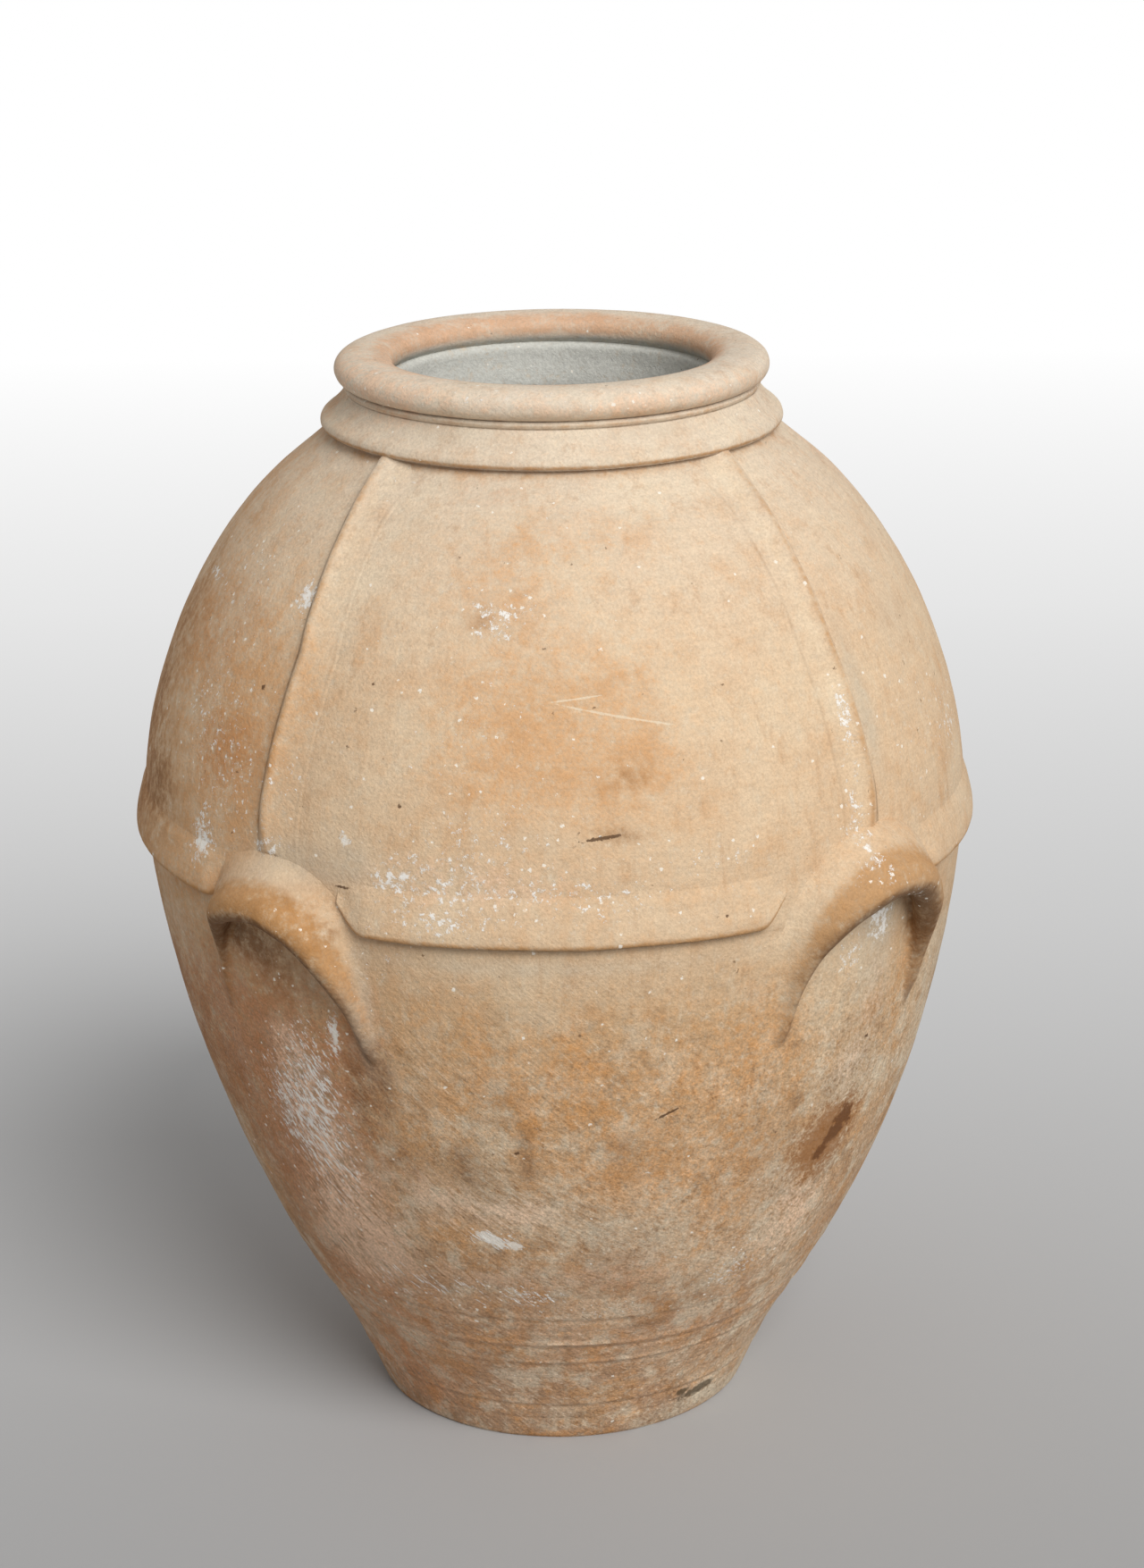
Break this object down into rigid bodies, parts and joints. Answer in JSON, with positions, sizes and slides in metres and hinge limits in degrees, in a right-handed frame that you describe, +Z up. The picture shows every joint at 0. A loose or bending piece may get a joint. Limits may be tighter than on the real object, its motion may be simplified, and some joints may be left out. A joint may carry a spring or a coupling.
{
  "type": "terracotta storage jar",
  "caption": "Large hand-built terracotta storage jar, egg-shaped on a narrow flat foot, with a rolled rim, flared collar, shoulder ribs, a raised belt and arched lug handles.",
  "frame": {"origin": "middle of the flat underside of the base slab", "axes": "+Z up along the jar's axis, +X towards the handle front_right (2 degrees off it), +Y towards the handle back_right"},
  "size_m": [0.8092, 0.8091, 0.964],
  "materials": {
    "cream_terracotta": "weathered unglazed terracotta, cream and tan, matt",
    "ochre_terracotta": "weathered unglazed terracotta, ochre orange, matt",
    "pale_terracotta": "weathered unglazed terracotta, pale cream, matt",
    "brown_terracotta": "weathered unglazed terracotta, brown and grey, matt"
  },
  "bodies": {
    "root": {"base_slab": "brown_terracotta", "foot_wall": "brown_terracotta", "lower_wall": "cream_terracotta", "belly_wall": "cream_terracotta", "upper_wall": "cream_terracotta", "shoulder_wall": "cream_terracotta", "neck_collar": "pale_terracotta", "rim_roll": "pale_terracotta", "belt_right": "cream_terracotta", "belt_back": "cream_terracotta", "belt_left": "cream_terracotta", "belt_front": "cream_terracotta", "rib_front_right": "cream_terracotta", "handle_front_right": "ochre_terracotta", "web_front_right": "cream_terracotta", "rib_back_right": "cream_terracotta", "handle_back_right": "ochre_terracotta", "web_back_right": "cream_terracotta", "rib_back_left": "cream_terracotta", "handle_back_left": "ochre_terracotta", "web_back_left": "cream_terracotta", "rib_front_left": "cream_terracotta", "handle_front_left": "ochre_terracotta", "web_front_left": "cream_terracotta"}
  },
  "joints": []
}
